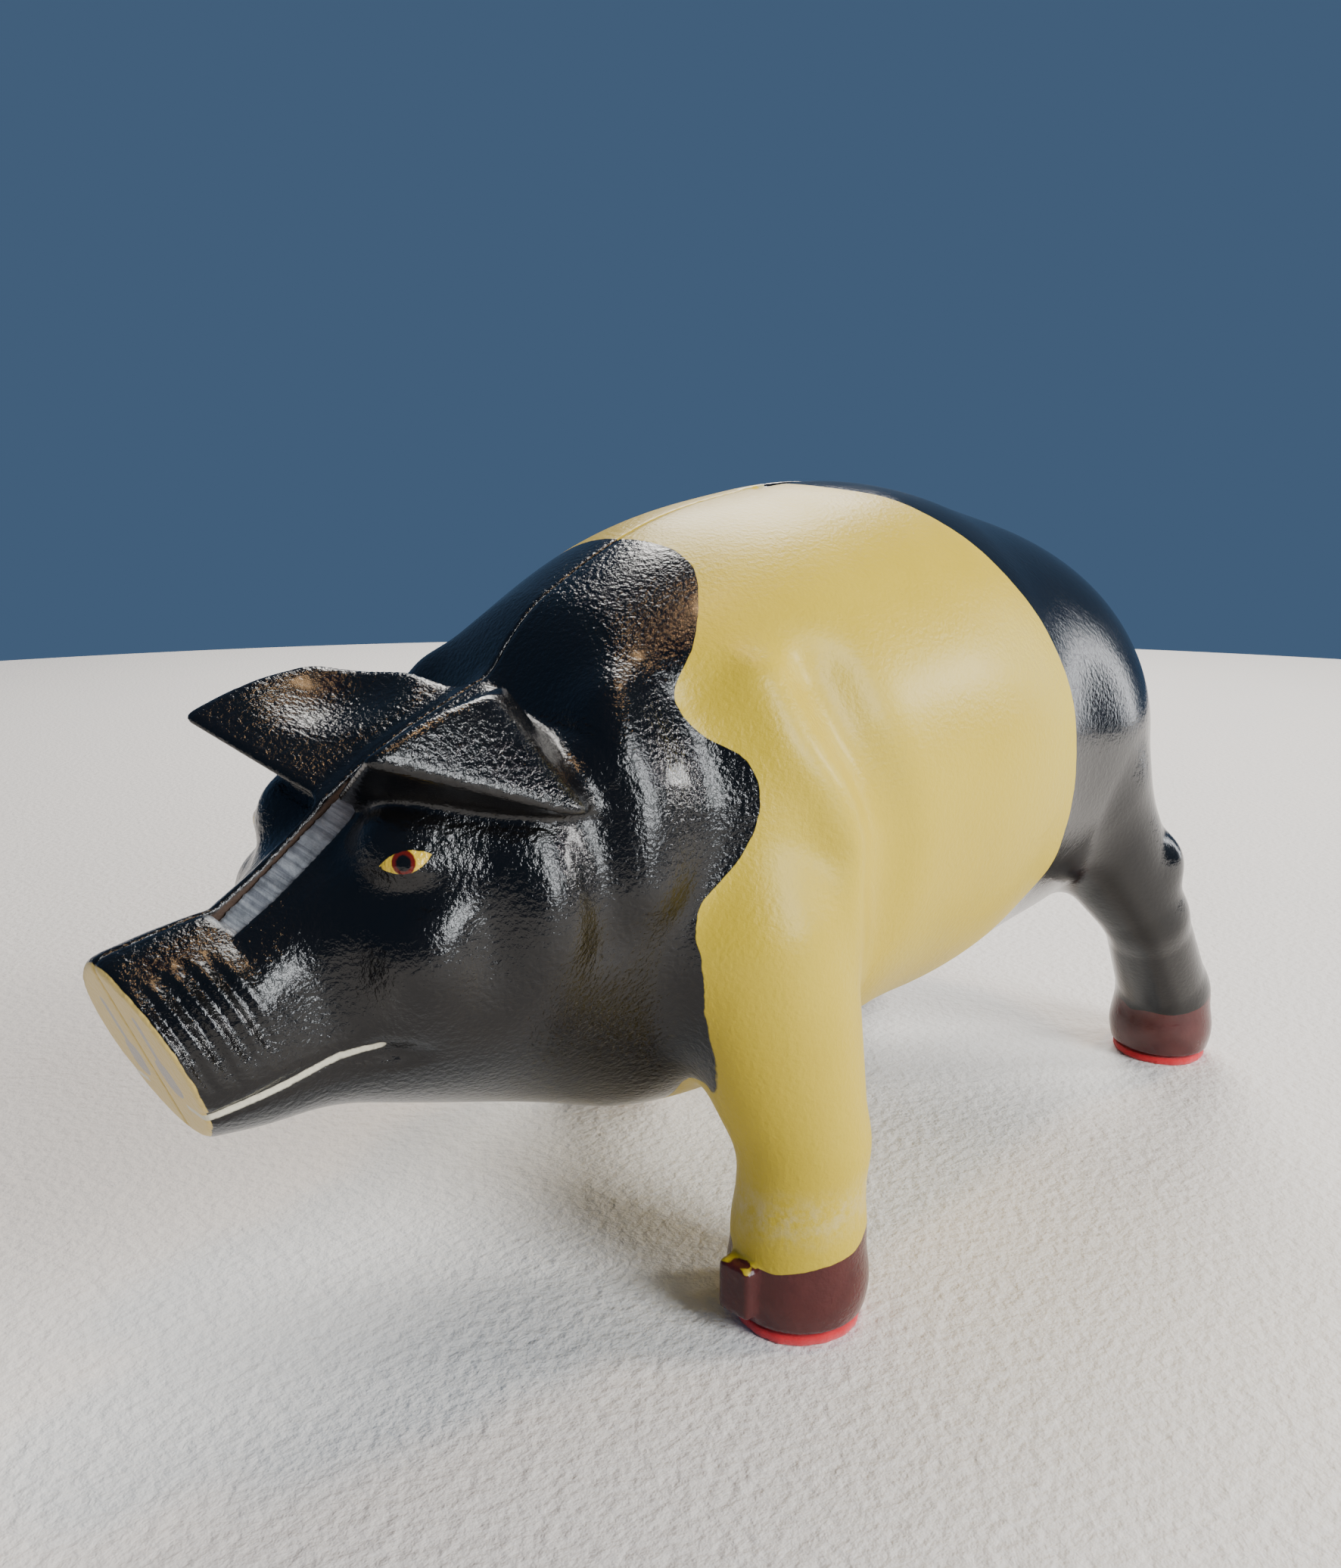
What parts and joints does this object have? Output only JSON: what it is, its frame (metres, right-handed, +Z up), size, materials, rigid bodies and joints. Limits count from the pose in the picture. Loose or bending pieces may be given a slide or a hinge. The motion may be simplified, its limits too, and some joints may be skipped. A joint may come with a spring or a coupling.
{
  "type": "cast iron still bank",
  "caption": "Standing pig coin bank in painted cast iron: two hollow halves held by a long screw, coin slot along the spine, red felt under the hooves.",
  "frame": {"origin": "on the ground under the middle of the whole length, on the plane where the two halves meet", "axes": "+Z up, +X from the snout towards the rump, +Y towards the pig's right side, from which the screw is driven"},
  "size_m": [0.2662, 0.118, 0.1467],
  "materials": {
    "painted_iron": "cream, black and maroon gloss enamel over a rough sand casting",
    "screw_steel": "plain steel, dulled with age",
    "red_felt": "pressed wool felt with a cut edge"
  },
  "bodies": {
    "left_casting": {"left_half_casting": "painted_iron", "felt_pad_front_left": "red_felt", "felt_pad_hind_left": "red_felt"},
    "right_casting": {"right_half_casting": "painted_iron", "felt_pad_front_right": "red_felt", "felt_pad_hind_right": "red_felt"},
    "screw": {"assembly_screw": "screw_steel"}
  },
  "joints": [
    {"name": "right_half_lift_off", "type": "slide", "parent": "left_casting", "child": "right_casting", "axis": [0, 1, 0], "range_m": [0, 0.14]},
    {"name": "screw_draw", "type": "slide", "parent": "right_casting", "child": "screw", "axis": [0, 1, 0], "range_m": [0, 0.115]}
  ]
}
